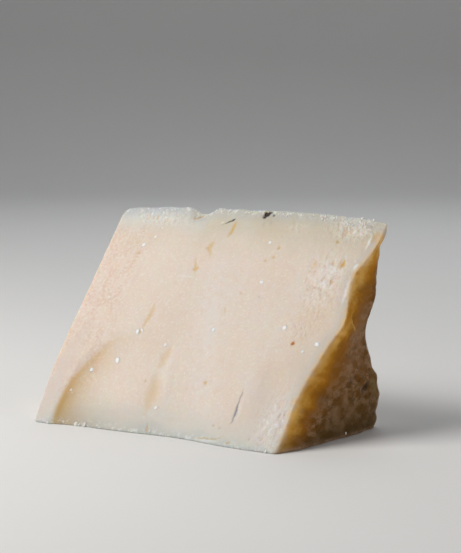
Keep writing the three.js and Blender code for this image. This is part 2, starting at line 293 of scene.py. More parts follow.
# Crystals of the hidden faces: least and most (along, up, radius) or (in, rise, radius), and how many
BACK_CRYSTALS = ((6, 6, 0.4), (98, 66, 0.95), (18, 3))
LEFT_CRYSTALS = ((14, 0.1, 0.4), (56, 0.9, 0.9), (7, 3))
# Crumbs that cling near the foot, as (along, up, radius) on the front and (in, up, radius) on the rind
FRONT_CRUMBS = [
    (5.8, 0.5, 0.5), (16.6, 0.6, 0.7), (17.8, 0.5, 0.5), (20.2, 0.7, 0.8), (47.3, 1.2, 0.5),
    (97.2, 0.6, 0.6),
]
RIND_CRUMBS = [(35.8, 1.7, 0.45)]
# Stretches of the ridge with small crumbs, as lowest and highest (along, up) and how many
RIDGE_CRUMBS = [((84, 71.5), (106, 73.9), 26), ((0, 73.2), (84, 74.3), 24)]
CRUMB_RADIUS = (0.2, 0.5)
HIDDEN_CRYSTAL_SEED = 253
RIDGE_CRUMB_SEED = 13
# Rays that find the places of crystals and crumbs: the axis and way they run, and how far out they start
RAYS = {"front": (1, 1), "back": (1, -1), "left": (0, 1), "rind": (0, -1)}
CAST_FROM = 150
# How lumps are shaped: height against width, most length, seed, and flat cuts through a ball
CRYSTAL_SHAPE = (0.09, 1.5, 11)
CRUMB_SHAPE = (0.5, 1.5, 12)
LUMP_CUTS = 9
CUT_DEPTH = (0.62, 1.05)
LEAST_SHADOW = 0.3
LUMP_REACH = 1.15

# The camera, from a fit to the chunk's corners
CAMERA_AZIMUTH = math.radians(32.36)
CAMERA_ELEVATION = math.radians(7.5)
CAMERA_AIM = Vector((64.6, 30.0, 54.1)) * MM + CORNER
CAMERA_DISTANCE = 0.7044
CAMERA_LENS = 130.2
CAMERA_SENSOR = 36

# The backdrop in metres: half its width, where its floor bends up, how wide the bend is, and its height
STAGE_HALF = 2.5
STAGE_BEHIND = 0.9
STAGE_BEND = 0.5
STAGE_HEIGHT = 2.5
STAGE_STEPS = 16
# Lights: how far to the camera's left, towards the camera and up in metres, size, power and colour
LIGHTS = {
    "key": ((0.47, 0.1, 0.52), 0.4, 3.9, (1, 0.985, 0.96)),
    "fill": ((-0.8, 0.35, 0.35), 0.6, 1.5, (1, 0.97, 0.93)),
    "back": ((-0.1, -0.7, 0.65), 0.5, 1.5, (0.92, 0.96, 1)),
}

# Cells along each axis after which the noise repeats
LATTICE = 32


def lattice_noise(points, size, seed):
    """Smooth noise from -1 to 1 at points in millimetres, with lumps of about that size."""
    table = np.random.default_rng(seed).uniform(-1, 1, (LATTICE,) * 3)
    place = points / np.asarray(size, float)
    cell = np.floor(place).astype(int)
    part = place - cell
    part = part * part * (3 - 2 * part)
    total = np.zeros(len(points))
    for corner in np.ndindex(2, 2, 2):
        weight = np.where(np.array(corner, bool), part, 1 - part).prod(axis=1)
        total += weight * table[tuple(((cell + corner) % LATTICE).T)]
    return total


def flat_noise(points, size, seed):
    """Smooth noise over the points of a plane."""
    return lattice_noise(np.c_[points, np.zeros(len(points))], (*np.broadcast_to(size, 2), 1), seed)


def layered(points, layers):
    """The sum of layers of noise at points in space."""
    return sum(layer.strength * lattice_noise(points, layer.size, layer.seed) for layer in layers)


def flat_layer(points, layer):
    return layer.strength * flat_noise(points, layer.size, layer.seed)


def sway(points, layer):
    """A shift for each point of a plane, from two layers of noise."""
    return np.c_[flat_layer(points, layer), flat_layer(points, layer._replace(seed=layer.seed + 1))]


def smoothstep(value, low, high):
    share = np.clip((value - low) / (high - low), 0, 1)
    return share * share * (3 - 2 * share)


def along_path(points, path):
    """For points of a plane: distance to a path, above 0 at its right, and the share of the path there."""
    spots = np.array(path, float)
    if len(spots) == 1:
        return np.linalg.norm(points - spots[0], axis=1), np.full(len(points), 0.5)
    nearest = np.full(len(points), np.inf)
    side = np.ones(len(points))
    share = np.zeros(len(points))
    pieces = len(spots) - 1
    for number, (start, end) in enumerate(zip(spots[:-1], spots[1:])):
        run = end - start
        away = points - start
        part = np.clip(away @ run / (run @ run), 0, 1)
        distance = np.linalg.norm(away - part[:, None] * run, axis=1)
        closer = distance < nearest
        nearest[closer] = distance[closer]
        side[closer] = np.sign(away[closer, 1] * -run[0] + away[closer, 0] * run[1])
        share[closer] = (number + part[closer]) / pieces
    return nearest * side, share


def stroke(points, mark):
    """How strongly a mark shows at points of its face: 1 on its middle line, thinning out at its ends."""
    away, share = along_path(points, mark.path)
    taper = 1 - (2 * share - 1) ** 2
    strength = END_STRENGTH + (1 - END_STRENGTH) * taper
    width = mark.width * (END_WIDTH + (1 - END_WIDTH) * taper)
    return strength * np.exp(-(away / width) ** 2)


# The chunk's fine mesh

def number_polygons(shape):
    """Numbers each polygon by its face of the wedge, from the way it looks and where it is."""
    normals = np.array([face.normal for face in shape.faces])
    along = np.array([face.calc_center_median().x - CORNER.x for face in shape.faces]) / MM
    score = normals @ np.array(list(FACES.values())).T
    score[along < RIND_FROM, FACE_NUMBER["rind"]] = -1
    score[along > LEFT_UP_TO, FACE_NUMBER["left"]] = -1
    for face, number in zip(shape.faces, score.argmax(axis=1)):
        face.material_index = int(number)


def crease_edges(shape):
    """Keeps the wedge's edges sharp, and the lip of the scoop a little."""
    names = list(FACES)
    crease = shape.edges.layers.float.new("crease_edge")
    for edge in shape.edges:
        touching = {names[face.material_index] for face in edge.link_faces}
        if len(touching) == 1:
            edge[crease] = LIP_CREASE if edge.calc_face_angle() > LIP_ANGLE else 0
        elif "foot" in touching:
            edge[crease] = FOOT_CREASE
        else:
            edge[crease] = RIND_CREASE if touching == {"front", "rind"} else CUT_CREASE


def subdivided(mesh):
    carrier = bpy.data.objects.new("carrier", mesh)
    bpy.context.scene.collection.objects.link(carrier)
    refine = carrier.modifiers.new("refine", "SUBSURF")
    refine.levels = REFINE_LEVELS
    fine = bpy.data.meshes.new_from_object(carrier.evaluated_get(bpy.context.evaluated_depsgraph_get()))
    bpy.data.objects.remove(carrier)
    bpy.data.meshes.remove(mesh)
    return fine


def soften_lip(shape):
    """Spreads the step at the scoop's edge over a few millimetres."""
    fronts = [face for face in shape.faces if face.material_index == FACE_NUMBER["front"]]
    on_face = {vertex for face in fronts for vertex in face.verts}
    spots = np.array([(vertex.co - CORNER) / MM for vertex in shape.verts])
    away = np.abs(along_path(on_slope(spots), up_slope(SCOOP_LIP))[0])
    chosen = (away < LIP_SOFT_REACH) & (spots[:, 2] > LIP_SOFT_FROM)
    near = [vertex for vertex, is_near in zip(shape.verts, chosen) if is_near and vertex in on_face]
    axes = {"use_axis_x": True, "use_axis_y": True, "use_axis_z": True}
    for _ in range(LIP_SOFT_ROUNDS):
        bmesh.ops.smooth_vert(shape, verts=near, factor=0.5, **axes)


def split_near_marks(mesh, marks, reach):
    """Splits the front's polygons in four where marks need finer ones."""
    shape = bmesh.new()
    shape.from_mesh(mesh)
    fronts = [face for face in shape.faces if face.material_index == FACE_NUMBER["front"]]
    spots = np.array([(face.calc_center_median() - CORNER) / MM for face in fronts])
    flat = on_slope(spots)
    near = np.zeros(len(fronts), bool)
    for mark in marks:
        near |= np.abs(along_path(flat, mark.path)[0]) < mark.width + reach
    edges = {edge for face, chosen in zip(fronts, near) if chosen for edge in face.edges}
    bmesh.ops.subdivide_edges(shape, edges=list(edges), cuts=1, use_grid_fill=True)
    shape.to_mesh(mesh)
    shape.free()


def rounded_copy(node, marks):
    """A fine copy of the node's mesh: facets smoothed, edges kept, polygons numbered by face."""
    mesh = node.data.copy()
    mesh.materials.clear()
    shape = bmesh.new()
    shape.from_mesh(mesh)
    bmesh.ops.remove_doubles(shape, verts=shape.verts, dist=WELD_DISTANCE * MM)
    shape.normal_update()
    number_polygons(shape)
    crease_edges(shape)
    soften_lip(shape)
    bmesh.ops.join_triangles(
        shape, faces=shape.faces, cmp_materials=True,
        angle_face_threshold=LIP_ANGLE, angle_shape_threshold=QUAD_SKEW,
    )
    shape.to_mesh(mesh)
    shape.free()
    fine = subdivided(mesh)
    for width, reach in SPLITS:
        split_near_marks(fine, [mark for mark in marks if mark.width < width], reach)
    return fine


def read(collection, name, width=1, kind=float):
    values = np.empty(len(collection) * width, np.float32 if kind is float else np.int32)
    collection.foreach_get(name, values)
    return values.reshape(-1, width).astype(kind) if width > 1 else values.astype(kind)


def face_shares(mesh):
    """For each face of the wedge, the share of each vertex's polygons that belong to it."""
    numbers = read(mesh.polygons, "material_index", kind=int)
    counts = read(mesh.polygons, "loop_total", kind=int)
    corners = read(mesh.loops, "vertex_index", kind=int)
    shares = np.zeros((len(mesh.vertices), len(FACES)))
    np.add.at(shares, (corners, np.repeat(numbers, counts)), 1)
    shares /= shares.sum(axis=1, keepdims=True)
    return dict(zip(FACES, shares.T))


def distance_to(points, chosen):
    """Distance of every point to the nearest chosen one."""
    tree = KDTree(int(chosen.sum()))
    for number, point in enumerate(points[chosen]):
        tree.insert(point, number)
    tree.balance()
    return np.array([tree.find(point)[2] for point in points])


def edge_distances(spots, share):
    """Distances to the wedge's edges in millimetres, by name; those to the rind are below 0 outside it."""
    meets = {name: values > 0 for name, values in share.items()}
    cut = meets["front"] | meets["back"] | meets["left"]
    side = np.where(share["rind"] > 0.5, 1, -1)
    return {
        "rind_in": side * distance_to(spots, meets["rind"] & (cut | meets["foot"])),
        "gold_in": side * distance_to(spots, meets["rind"] & meets["front"]),
        "rim_in": distance_to(spots, meets["rind"] & (meets["back"] | meets["foot"])),
        "ridge_in": distance_to(spots, meets["front"] & meets["back"]),
        "foot_in": distance_to(spots, cut & meets["foot"]),
        "left_in": distance_to(spots, meets["left"] & (meets["front"] | meets["back"])),
    }


def on_slope(spots):
    """Places on the front as lengths along it and up its slope."""
    return np.c_[spots[:, 0], spots[:, 2] * SLOPE]


def up_slope(path):
    """A path on the front with its heights measured up the slope."""
    return [(along, up * SLOPE) for along, up in path]


def front_marks():
    dots = [Mark([(along, up)], radius, DOT_DEPTH, gold=gold) for along, up, radius, gold in GOLDEN_DOTS]
    marks = GOLDEN_SLITS + DIMPLES + PALE_FOLDS + DARK_MARKS + dots + [RED_DOT] + COLOUR_ZONES
    return [mark._replace(path=up_slope(mark.path)) for mark in marks]


def rind_marks():
    blooms = []
    for inward, up, radius in RIND_BLOOMS:
        blooms.append(Mark([(inward, up)], radius, BLOOM_DEPTH, pale=BLOOM_STRENGTH))
    return RIND_MARKS + blooms


def drawn_marks(draw, count, width, height):
    """Dimples, slits and folds like the front's, by turns, over a face that the photo doesn't show."""
    marks = []
    for number in range(count):
        start = draw.uniform(*HIDDEN_START) * (width, height)
        run = draw.uniform(*HIDDEN_RUN)
        bend = draw.uniform(-HIDDEN_BEND, HIDDEN_BEND, 2)
        path = [tuple(start), tuple(start + run / 2 + bend), tuple(start + run)]
        least, most, fixed = HIDDEN_KINDS[number % len(HIDDEN_KINDS)]
        marks.append(Mark(path, *draw.uniform(least, most), **fixed))
    return marks


class Relief:
    """Depth and colours that marks leave on the chunk's points."""

    def __init__(self, count):
        self.depth = np.zeros(count)
        self.tints = {tint: np.zeros(count) for tint in TINTS}

    def tint(self, name, values):
        np.maximum(self.tints[name], values, out=self.tints[name])

    def add(self, points, marks, share):
        """Adds marks of one face, where share says how far each point belongs to it."""
        swayed = points + sum(sway(points, layer) for layer in SWAYS)
        ragged = flat_layer(points, RAGGED)
        for mark in marks:
            shape = share * stroke(swayed, mark)
            self.depth += mark.depth * shape
            tint_share = shape
            if mark.width < RAGGED_UP_TO:
                tint_share = shape * smoothstep(shape + ragged, *RAGGED_RISE)
            for name in TINTS:
                self.tint(name, getattr(mark, name) * tint_share)


def painted_scoop_shade(slope, strength, reach, power, full, rise):
    """A painted shade inside the scoop's edge, strongest at the foot."""
    away, share = along_path(slope, up_slope(SCOOP_LIP))
    fall = np.exp(-(away - full).clip(0) / reach)
    return strength * (1 - share) ** power * fall * smoothstep(away, *rise)


def flake_strength(slope):
    """How scaly the front is, up to about 1."""
    strength = np.zeros(len(slope))
    for (along, up), (wide, high), full in FLAKE_PATCHES:
        away = (slope - (along, up * SLOPE)) / (wide, high * SLOPE)
        np.maximum(strength, full * np.exp(-(away ** 2).sum(axis=1)), out=strength)
    return strength


def scales(slope):
    """Torn scales: short ragged strokes up the slope."""
    bent = slope + sway(slope, SCALE_SWAY)
    return SCALE_MIDDLE - np.abs(flat_noise(bent, SCALE_SIZE, SCALE_SEED)) + flat_layer(slope, SCALE_GRAIN)


def blunt_ends(spots, share):
    """How far each point moves where the ends of the ridge are worn."""
    middle = spots.mean(axis=0)
    move = np.zeros_like(spots)
    for end, depth in BLUNT_DEPTH.items():
        tip = spots[(share["front"] > 0) & (share["back"] > 0) & (share[end] > 0)].mean(axis=0)
        inward = (middle - tip) / np.linalg.norm(middle - tip)
        near = (1 - np.linalg.norm(spots - tip, axis=1) / BLUNT_REACH).clip(0)
        move += depth * near[:, None] ** 2 * inward
    return move


def paste_lift(spots, slope, edges):
    """How far the cut faces stand out: long swells, fine streaks and crumbly edges."""
    lift = layered(spots, PASTE_SWELLS) + layered(np.c_[slope, spots[:, 1]], PASTE_STREAKS)
    left_in = edges["left_in"] + LEFT_EDGE_SPARED
    near_edge = np.minimum.reduce([edges["ridge_in"], edges["foot_in"], left_in])
    return lift + np.exp(-near_edge / CRUMBLE_REACH) * layered(spots, EDGE_CRUMBLE)


def rind_lift(spots, edges):
    """How far the rind stands out: soft lumps and fine grain, fading towards the front cut."""
    return smoothstep(edges["gold_in"], *RIND_LUMPS_RISE) * layered(spots, RIND_LUMPS)


def put_attribute(mesh, name, values):
    layer = mesh.attributes.new(name, "FLOAT", "POINT")
    layer.data.foreach_set("value", np.asarray(values, np.float32))


def placed(name, mesh):
    """Puts a mesh into the scene as a smooth-shaded object."""
    mesh.polygons.foreach_set("use_smooth", np.ones(len(mesh.polygons), bool))
    mesh.update()
    thing = bpy.data.objects.new(name, mesh)
    bpy.context.scene.collection.objects.link(thing)
    return thing


def face_relief(spots, slope, share, marks):
    """What the marks of all faces and the scoop's painted shades leave on the chunk's points."""
    draw = np.random.default_rng(HIDDEN_SEED)
    sideways = spots[:, [1, 2]]
    relief = Relief(len(spots))
    relief.add(slope, marks, share["front"])
    relief.add(spots[:, [0, 2]], drawn_marks(draw, *BACK_SPREAD), share["back"])
    relief.add(sideways, drawn_marks(draw, *LEFT_SPREAD), share["left"])
    relief.add(sideways, rind_marks(), share["rind"])
    for name, shade in SCOOP_PAINTED_SHADES.items():
        relief.tint(name, share["front"] * painted_scoop_shade(slope, *shade))
    return relief


def pinkness(share, edges):
    """How pink the paste is, most of all on the front near the left end."""
    full = share["front"] + HIDDEN_PINK * (1 - share["front"])
    return full * (1 - smoothstep(edges["left_in"], *PINK_REACH))


def carved_chunk():
    """The chunk with its relief, and with the attributes that its colours need."""
    marks = front_marks()
    mesh = rounded_copy(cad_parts[NODE], marks)
    place = read(mesh.vertices, "co", 3)
    normal = read(mesh.vertex_normals, "vector", 3)
    spots = (place - np.array(CORNER)) / MM
    slope = on_slope(spots)
    share = face_shares(mesh)
    edges = edge_distances(spots, share)
    relief = face_relief(spots, slope, share, marks)
    flake = share["front"] * flake_strength(slope)
    torn = flake * scales(slope)

    rind = share["rind"]
    lift = (1 - rind) * paste_lift(spots, slope, edges) + rind * rind_lift(spots, edges)
    lift += SCALE_DEPTH * torn - relief.depth
    lift *= 1 - share["foot"]
    place += (normal * lift[:, None] + blunt_ends(spots, share)) * MM
    place[:, 2] = np.maximum(place[:, 2], 0)
    mesh.vertices.foreach_set("co", place.astype(np.float32).ravel())

    values = {**edges, **relief.tints, "flake": flake, "torn": torn}
    values.update(along=spots[:, 0], up=spots[:, 2], front=share["front"], pink=pinkness(share, edges))
    for name, numbers in values.items():
        put_attribute(mesh, name, numbers)
    mesh.polygons.foreach_set("material_index", np.zeros(len(mesh.polygons), np.int32))
    return placed("cheese_chunk", mesh)


# Material nodes

def feed(tree, socket, value):
    """Gives a socket a value, the output of a node, or the mesh's attribute of that name."""
    if isinstance(value, str):
        value = add_node(tree, "Attribute", attribute_name=value).outputs["Fac"]
    if isinstance(value, bpy.types.NodeSocket):
        tree.links.new(value, socket)
    elif isinstance(value, tuple) and socket.type == "RGBA":
        socket.default_value = (*value, 1)
    else:
        socket.default_value = value


def add_node(tree, kind, inputs=None, **settings):
    made = tree.nodes.new("ShaderNode" + kind)
    for name, value in settings.items():
        setattr(made, name, value)
    for name, value in (inputs or {}).items():
        feed(tree, made.inputs[name], value)
    return made


def mix(tree, share, first, second):
    """Two colours mixed by a share from 0 to 1."""
    return add_node(tree, "Mix", {0: share, 6: first, 7: second}, data_type="RGBA").outputs[2]


def mix_number(tree, share, first, second):
    return add_node(tree, "Mix", {0: share, 2: first, 3: second}, data_type="FLOAT").outputs[0]


def combine(tree, operation, first, second):
    return add_node(tree, "Math", {0: first, 1: second}, operation=operation).outputs[0]


def times(tree, first, second):
    return combine(tree, "MULTIPLY", first, second)


def larger(tree, first, second):
    return combine(tree, "MAXIMUM", first, second)


def spread(tree, value, low, high, to_low=0, to_high=1):
    """A value taken smoothly from one range to another."""
    ranges = {"Value": value, "From Min": low, "From Max": high, "To Min": to_low, "To Max": to_high}
    return add_node(tree, "MapRange", ranges, interpolation_type="SMOOTHSTEP").outputs["Result"]


def fading(tree, value, near, far, strength):
    return spread(tree, value, near, far, strength, 0)


def noise(tree, place, scale, detail, rough):
    inputs = {"Vector": place, "Scale": scale, "Detail": detail, "Roughness": rough}
    return add_node(tree, "TexNoise", inputs).outputs["Fac"]


def speckle(tree, place, scale, detail, rough, low, high, least, most):
    """A share read from a noise."""
    return spread(tree, noise(tree, place, scale, detail, rough), low, high, least, most)


def wander(tree, place, scale, detail, reach):
    """A distance that a noise sways to both sides of 0."""
    value = noise(tree, place, scale, detail, WANDER_ROUGH)
    return times(tree, combine(tree, "SUBTRACT", value, NOISE_MIDDLE), reach)


def new_material(name, looks):
    """A material whose looks are worked out from places on the object, as values by socket name."""
    material = bpy.data.materials.new(name)
    material.use_nodes = True
    tree = material.node_tree
    place = add_node(tree, "TexCoord").outputs["Object"]
    for socket, value in looks(tree, place).items():
        feed(tree, tree.nodes["Principled BSDF"].inputs[socket], value)
    return material


# Colours, as linear red, green and blue
PASTE_CREAM = (0.79, 0.685, 0.59)
PASTE_PEACH = (0.77, 0.62, 0.495)
PASTE_PINK = (0.74, 0.565, 0.46)
PASTE_GRAIN = (0.87, 0.81, 0.74)
# Painted shade in the hollows between the torn scales
TORN_PAINTED_SHADE = (0.7, 0.55, 0.42)
PASTE_PALE = (0.8, 0.72, 0.655)
PASTE_ROSE = (0.7, 0.605, 0.54)
# Bands at the ridge and foot, partly dry paste and partly painted skylight and glow through the thin edges
EDGE_PALE = (0.64, 0.635, 0.58)
EDGE_STRAW = (0.62, 0.55, 0.41)
RIDGE_PALE = (0.63, 0.65, 0.615)
RIDGE_GREY = (0.5, 0.515, 0.485)
# Painted bluish skylight on the ridge
RIDGE_PAINTED_SKYLIGHT = (0.45, 0.495, 0.535)
FOOT_PALE = (0.585, 0.59, 0.555)
RIM_PALE = (0.645, 0.585, 0.505)
SCALE_WHITE = (0.88, 0.87, 0.84)
# Gold of the stains, and painted shade in the dimples
GOLD_STAIN_AND_SHADE = (0.68, 0.39, 0.02)
STAIN_RED = (0.48, 0.16, 0.01)
# Painted shade inside the scoop's edge: a dark one, and a honey-coloured one that also tints a faint zone
# near the rind
PASTE_PAINTED_SHADE = (0.42, 0.34, 0.24)
PASTE_HONEY_SHADE = (0.72, 0.43, 0.08)
VEIN_BLUE = (0.2, 0.22, 0.27)
# Mould on the ridge, and painted shade in the rind's creases
MOULD_AND_SHADE_DARK = (0.015, 0.016, 0.012)
CRYSTAL_WHITE = (0.97, 0.97, 0.99)
CRYSTAL_DULL = (0.86, 0.81, 0.75)
CRUMB_CREAM = (0.76, 0.73, 0.66)
RIND_HONEY = (0.96, 0.57, 0.145)
RIND_GOLD = (0.55, 0.22, 0.006)
RIND_AMBER = (0.33, 0.124, 0.004)
RIND_BROWN = (0.2, 0.078, 0.007)
RIND_DARK = (0.066, 0.039, 0.006)
# Painted light on the lit edges of the rind's raised lumps
RIND_PAINTED_HIGHLIGHT = (0.215, 0.145, 0.05)
# Bloom, and also the painted rim highlight along the rind's back and foot edges
RIND_BLOOM_AND_RIM_LIGHT = (0.35, 0.198, 0.1)
STAGE_PALE = (0.8, 0.79, 0.77)
STAGE_WHITE = (0.84, 0.83, 0.81)

# Noises read as a share: scale, detail and roughness, the range read, and the shares at its ends
CLOUDS = (45, 3, 0.55, 0.4, 0.7, 0, 0.5)
PINK_GRAIN = (800, 5, 0.7, 0.38, 0.62, 0.05, 1.2)
BLUSH = (1, 3, 0.55, 0.38, 0.62, 0.35, 1.5)
CURD = (420, 5, 0.7, 0.45, 0.68, 0, 0.5)
GRIT = (1000, 3, 0.6, 0.5, 0.68, 0, 0.45)
STREAKS = (1, 3, 0.55, 0.45, 0.75, 0, 0.22)
FOOT_WANDER = (60, 3, 0.55, 0.3, 0.7, -2, 2)
ALONG_WANDER = (60, 3, 0.55, 0.3, 0.7, -20, 20)
CRUST_GRAINS = (650, 4, 0.65, 0.5, 0.62, 0, 1)
RIND_FLECKS = (380, 4, 0.55, 0.42, 0.6, 0, 1)
FRECKLES = (750, 4, 0.65, 0.46, 0.66, 0, 0.68)
BLOOM_PATCHES = (420, 5, 0.7, 0.3, 0.62, 0.4, 1)
DAPPLES = (240, 3, 0.6, 0.46, 0.62, 0, 0.6)
PASTE_ROUGH = (700, 3, 0.55, 0.3, 0.7, 0.44, 0.6)
CRUMB_GRAINS = (900, 3, 0.55, 0.35, 0.65, 0, 1)
# Other noises: scale, detail and roughness, and for those that sway a distance scale, detail and reach
FIBRE_NOISE = (1, 4, 0.6)
FINE_BUMP = (1300, 4, 0.6)
STREAK_BUMP = (1, 3, 0.55)
LEATHER_BUMP = (520, 5, 0.65)
CRYSTAL_NOISE = (1500, 3, 0.55)
STAGE_NOISE = (6, 2, 0.55)
NOISE_MIDDLE = 0.5
WANDER_ROUGH = 0.55
RIND_WANDER = (210, 3, 9)
BORDER_WANDER = (300, 4, 2.8)
# How noises are stretched: scales across and up the slope, and along the axes
BLUSH_STRETCH = (260, 130)
STREAK_STRETCH = (420, 30)
FIBRE_STRETCH = (900, 380)
BUMP_STRETCH = (600, 45)
RIND_STRETCH = (1, 0.6, 1)

# How a share fades: full up to one distance in millimetres, none past another, and its strength
RIDGE_CRUST = (0, 4, 0.7)
FOOT_CRUST = (0, 4, 0.6)
STRAW_BAND = (4, 24, 0.65)
RIDGE_BAND = (2, 14, 0.8)
GREY_BAND = (0, 6.5, 0.9)
PALE_BAND = (1, 18, 0.75)
FOOT_BAND = (0, 5, 0.85)
# Painted shade low on the rind, and painted shadow at its foot
LOW_PAINTED_SHADE = (1, 24, 0.62)
FOOT_PAINTED_SHADOW = (0, 8, 0.5)
# A painted rim highlight along the rind's back and foot edges
RIND_PAINTED_RIM_LIGHT = (0.3, 2.6, 0.55)
AMBER_BAND = (5.5, 13, 0.9)
GOLD_BAND = (2, 8, 1)
HONEY_BAND = (-1, 4.6, 1)
# The golden bands are wider near the ridge and narrower near the foot, by up to so many millimetres
GOLD_WIDER = (12, 40, 2)
GOLD_NARROWER = (2, 18, 2)
HONEY_WIDER = (14, 34, 1.2)
# How a share rises: the range read, and the shares at its ends where they aren't 0 and 1
STRAW_RISE = (10, 70, 0.4, 1)
STRAW_EDGE_RISE = (30, 80)
DRY_AND_GLOW_RISE = (0, 1, 0.5, 1)
RIM_RISE = (-6, -0.5, 0, 0.8)
TORN_WHITE_RISE = (0.08, 0.4, 0, 0.85)
TORN_PAINTED_SHADE_RISE = (-0.05, -0.35, 0, 0.8)
LOW_PAINTED_SHADE_RISE = (7, 18)
BORDER_RISE = (-1.8, 1.8)
TIP_RISE = (2.5, 6.5)
CRYSTAL_RISE = (0.45 * MM, 0.8 * MM)

# White specks and fibres of the paste, and bloom that lies over the rind's other colours
SPECK_SCALES = (300, 560)
SPECK_EDGE = (0.2, 0.08)
SPECK_CHOICE = (0.72, 0.78)
SPECK_STRENGTH = 0.2
FIBRE_LINE = (0, 0.09, 1)
FIBRE_STRENGTH = 0.6
BLOOM_OVER = 0.45
# How rough, high and clear the surfaces are
RIND_ROUGH = 0.78
STREAK_HEIGHT = 0.5
LEATHER_HEIGHT = 4
PASTE_SUBSURFACE = 0.55
RIND_SUBSURFACE = 0.1


def slanted(tree, place, across, along):
    """Coordinates that run across the front and up its slope, stretched by the two numbers."""
    turn = {"Vector": place, "Rotation": (FRONT_LEAN, 0, 0)}
    level = add_node(tree, "Mapping", turn).outputs[0]
    stretch = {"Vector": level, "Scale": (across, across, along)}
    return add_node(tree, "Mapping", stretch).outputs[0]


def specks(tree, place, scale):
    """Small round specks, in about one cell of four."""
    cells = add_node(tree, "TexVoronoi", {"Vector": place, "Scale": scale})
    spot = spread(tree, cells.outputs["Distance"], *SPECK_EDGE)
    chosen = add_node(tree, "SeparateColor", {"Color": cells.outputs["Color"]}).outputs[0]
    return times(tree, spot, spread(tree, chosen, *SPECK_CHOICE))


def fibres(tree, place):
    """Torn white fibres, as thin lines between lumps of a noise that is stretched up the slope."""
    lumps = noise(tree, slanted(tree, place, *FIBRE_STRETCH), *FIBRE_NOISE)
    line = combine(tree, "ABSOLUTE", combine(tree, "SUBTRACT", lumps, NOISE_MIDDLE), 0)
    return fading(tree, line, *FIBRE_LINE)


def crust(tree, place):
    """Dry white crumbs along the ridge and the foot."""
    at_ridge = fading(tree, "ridge_in", *RIDGE_CRUST)
    at_foot = fading(tree, "foot_in", *FOOT_CRUST)
    return times(tree, larger(tree, at_ridge, at_foot), speckle(tree, place, *CRUST_GRAINS))


def paste_body(tree, place):
    """The cream of the cut faces, with its clouds, zones and streaks."""
    clouds = larger(tree, speckle(tree, place, *CLOUDS), "peach")
    base = mix(tree, clouds, PASTE_CREAM, PASTE_PEACH)
    base = mix(tree, "pale", base, PASTE_PALE)
    blush = speckle(tree, slanted(tree, place, *BLUSH_STRETCH), *BLUSH)
    patchy = times(tree, speckle(tree, place, *PINK_GRAIN), blush)
    base = mix(tree, times(tree, "pink", patchy), base, PASTE_PINK)
    base = mix(tree, speckle(tree, place, *CURD), base, PASTE_PEACH)
    base = mix(tree, speckle(tree, place, *GRIT), base, PASTE_GRAIN)
    return mix(tree, speckle(tree, slanted(tree, place, *STREAK_STRETCH), *STREAKS), base, PASTE_PALE)


def paste_edges(tree, place, base):
    """The paste's edges: straw and grey towards the ridge, pale at the foot and along the rind; the grey
    and pale bands are partly dry paste and partly painted skylight and glow through the thin edges.
    """
    foot_in = combine(tree, "ADD", "foot_in", speckle(tree, place, *FOOT_WANDER))
    along = combine(tree, "ADD", "along", speckle(tree, place, *ALONG_WANDER))
    straw = times(tree, fading(tree, "ridge_in", *STRAW_BAND), spread(tree, along, *STRAW_RISE))
    base = mix(tree, straw, base, EDGE_STRAW)
    edge = mix(tree, spread(tree, along, *STRAW_EDGE_RISE), RIDGE_PALE, EDGE_STRAW)
    base = mix(tree, fading(tree, "ridge_in", *RIDGE_BAND), base, edge)
    dry_and_glow = spread(tree, "front", *DRY_AND_GLOW_RISE)
    # Grey at the ridge and pale at the foot: partly dry paste, partly painted skylight and glow through
    # the thin edges
    bands = (
        ("ridge_in", GREY_BAND, RIDGE_GREY),
        (foot_in, PALE_BAND, EDGE_PALE),
        (foot_in, FOOT_BAND, FOOT_PALE),
    )
    for inward, band, colour in bands:
        base = mix(tree, times(tree, fading(tree, inward, *band), dry_and_glow), base, colour)
    base = mix(tree, "rose", base, PASTE_ROSE)
    # Painted shade inside the scoop's edge, honey-coloured and dark
    base = mix(tree, "honey", base, PASTE_HONEY_SHADE)
    base = mix(tree, "dusk", base, PASTE_PAINTED_SHADE)
    base = mix(tree, spread(tree, "rind_in", *RIM_RISE), base, RIM_PALE)
    # Painted bluish skylight along the ridge
    return mix(tree, "cool", base, RIDGE_PAINTED_SKYLIGHT)


def paste_whites(tree, place):
    """How white the paste is: folds, torn scales, specks and the crumbly edges."""
    scaly = times(tree, "flake", fibres(tree, place))
    white = larger(tree, "white", times(tree, scaly, FIBRE_STRENGTH))
    white = larger(tree, white, spread(tree, "torn", *TORN_WHITE_RISE))
    for scale in SPECK_SCALES:
        white = larger(tree, white, times(tree, specks(tree, place, scale), SPECK_STRENGTH))
    return larger(tree, white, crust(tree, place))


def paste_colour(tree, place):
    base = paste_edges(tree, place, paste_body(tree, place))
    # Painted shade in the hollows between the torn scales
    base = mix(tree, spread(tree, "torn", *TORN_PAINTED_SHADE_RISE), base, TORN_PAINTED_SHADE)
    return mix(tree, paste_whites(tree, place), base, SCALE_WHITE)


def rind_mottles(tree, wide):
    """Brown with fine bloom and dark freckles."""
    base = mix(tree, speckle(tree, wide, *RIND_FLECKS), RIND_BROWN, RIND_BLOOM_AND_RIM_LIGHT)
    return mix(tree, speckle(tree, wide, *FRECKLES), base, RIND_DARK)


